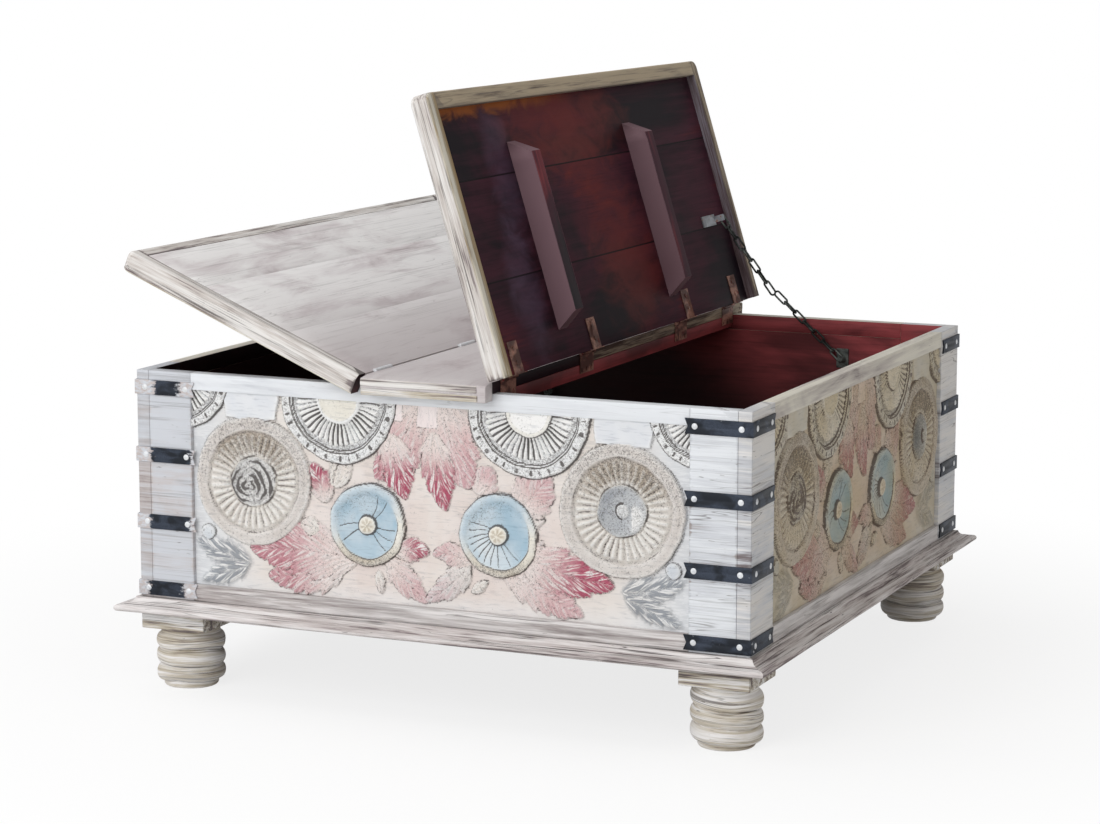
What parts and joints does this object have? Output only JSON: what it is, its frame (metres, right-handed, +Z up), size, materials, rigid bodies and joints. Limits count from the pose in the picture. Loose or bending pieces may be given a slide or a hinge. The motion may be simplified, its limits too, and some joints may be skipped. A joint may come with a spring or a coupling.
{
  "type": "coffee table",
  "caption": "Square trunk coffee table with carved and painted sides, iron corner straps, turned feet and lids hinged on a fixed centre strip",
  "frame": {"origin": "on the floor, under the middle of the table", "axes": "+Z up, +X to the right and +Y to the back, as seen from the carved front"},
  "size_m": [0.904, 0.904, 0.7925],
  "materials": {
    "whitewashed_wood": "streaky grey-white wash over dark wood, rubbed through",
    "cream_rim_wood": "cream paint worn to yellow-brown along the edges",
    "carved_paint": "carved relief painted beige, rose and pale blue, worn on the high places",
    "lid_board_wood": "brushed grey-white wash above, dark maroon stain below",
    "maroon_wood": "dark maroon stain, satin",
    "mauve_wood": "mauve-brown stain, satin",
    "slate_iron": "dark slate-blue iron, dull",
    "hinge_iron": "rust-brown iron, dull",
    "chain_iron": "dark grey iron, dull",
    "nail_steel": "dull steel heads"
  },
  "bodies": {
    "trunk": {"front_top_rail": "whitewashed_wood", "front_bottom_rail": "whitewashed_wood", "front_stiles": "whitewashed_wood", "front_carved_panel": "carved_paint", "right_top_rail": "whitewashed_wood", "right_bottom_rail": "whitewashed_wood", "right_stiles": "whitewashed_wood", "right_carved_panel": "carved_paint", "back_top_rail": "whitewashed_wood", "back_bottom_rail": "whitewashed_wood", "back_stiles": "whitewashed_wood", "back_carved_panel": "carved_paint", "left_top_rail": "whitewashed_wood", "left_bottom_rail": "whitewashed_wood", "left_stiles": "whitewashed_wood", "left_carved_panel": "carved_paint", "floor_board": "maroon_wood", "front_base_moulding": "whitewashed_wood", "right_base_moulding": "whitewashed_wood", "back_base_moulding": "whitewashed_wood", "left_base_moulding": "whitewashed_wood", "front_left_foot": "whitewashed_wood", "front_right_foot": "whitewashed_wood", "back_right_foot": "whitewashed_wood", "back_left_foot": "whitewashed_wood", "front_left_straps": "slate_iron", "front_right_straps": "slate_iron", "back_right_straps": "slate_iron", "back_left_straps": "slate_iron", "strap_nails": "nail_steel", "centre_strip": "whitewashed_wood", "centre_rail": "maroon_wood", "right_fixed_leaves": "hinge_iron", "right_hinge_pins": "nail_steel", "left_fixed_leaves": "hinge_iron", "left_hinge_pins": "nail_steel", "fixed_leaf_screws": "nail_steel", "right_wall_eye": "chain_iron", "left_wall_eye": "chain_iron"},
    "right_lid": {"right_lid_boards": "lid_board_wood", "right_lid_front_rim": "cream_rim_wood", "right_lid_back_rim": "cream_rim_wood", "right_lid_outer_rim": "cream_rim_wood", "right_lid_battens": "mauve_wood", "right_lid_leaves": "hinge_iron", "right_lid_screws": "nail_steel", "right_chain_staple": "chain_iron"},
    "left_lid": {"left_lid_boards": "lid_board_wood", "left_lid_front_rim": "cream_rim_wood", "left_lid_back_rim": "cream_rim_wood", "left_lid_outer_rim": "cream_rim_wood", "left_lid_battens": "mauve_wood", "left_lid_leaves": "hinge_iron", "left_lid_screws": "nail_steel", "left_chain_staple": "chain_iron"},
    "right_chain_upper": {"right_chain_upper_links": "chain_iron"},
    "right_chain_lower": {"right_chain_lower_links": "chain_iron"},
    "left_chain_upper": {"left_chain_upper_links": "chain_iron"},
    "left_chain_lower": {"left_chain_lower_links": "chain_iron"}
  },
  "joints": [
    {"name": "right_lid_hinge", "type": "hinge", "parent": "trunk", "child": "right_lid", "pos_m": [0.088, 0, 0.4384], "axis": [0, -1, 0], "range_deg": [-107, 0]},
    {"name": "left_lid_hinge", "type": "hinge", "parent": "trunk", "child": "left_lid", "pos_m": [-0.088, 0, 0.4384], "axis": [0, 1, 0], "range_deg": [-23.2, 77.3]},
    {"name": "right_chain_lower_swing", "type": "hinge", "parent": "trunk", "child": "right_chain_lower", "pos_m": [0.258, 0.3956, 0.368], "axis": [0, -1, 0], "range_deg": [0, 74.38]},
    {"name": "right_chain_upper_swing", "type": "hinge", "parent": "right_lid", "child": "right_chain_upper", "pos_m": [0.07669, 0.3843, 0.56775], "axis": [0, -1, 0], "range_deg": [0, 37.63]},
    {"name": "left_chain_lower_swing", "type": "hinge", "parent": "trunk", "child": "left_chain_lower", "pos_m": [-0.258, 0.3956, 0.368], "axis": [0, 1, 0], "range_deg": [-83.51, 25.07]},
    {"name": "left_chain_upper_swing", "type": "hinge", "parent": "left_lid", "child": "left_chain_upper", "pos_m": [-0.21537, 0.3843, 0.46361], "axis": [0, 1, 0], "range_deg": [-45.07, 13.53]}
  ],
  "couplings": [
    {"joint": "right_chain_lower_swing", "follows": "right_lid_hinge", "ratio": -0.69517},
    {"joint": "right_chain_upper_swing", "follows": "right_lid_hinge", "ratio": -0.35164},
    {"joint": "left_chain_lower_swing", "follows": "left_lid_hinge", "ratio": -1.0803},
    {"joint": "left_chain_upper_swing", "follows": "left_lid_hinge", "ratio": -0.58306}
  ]
}
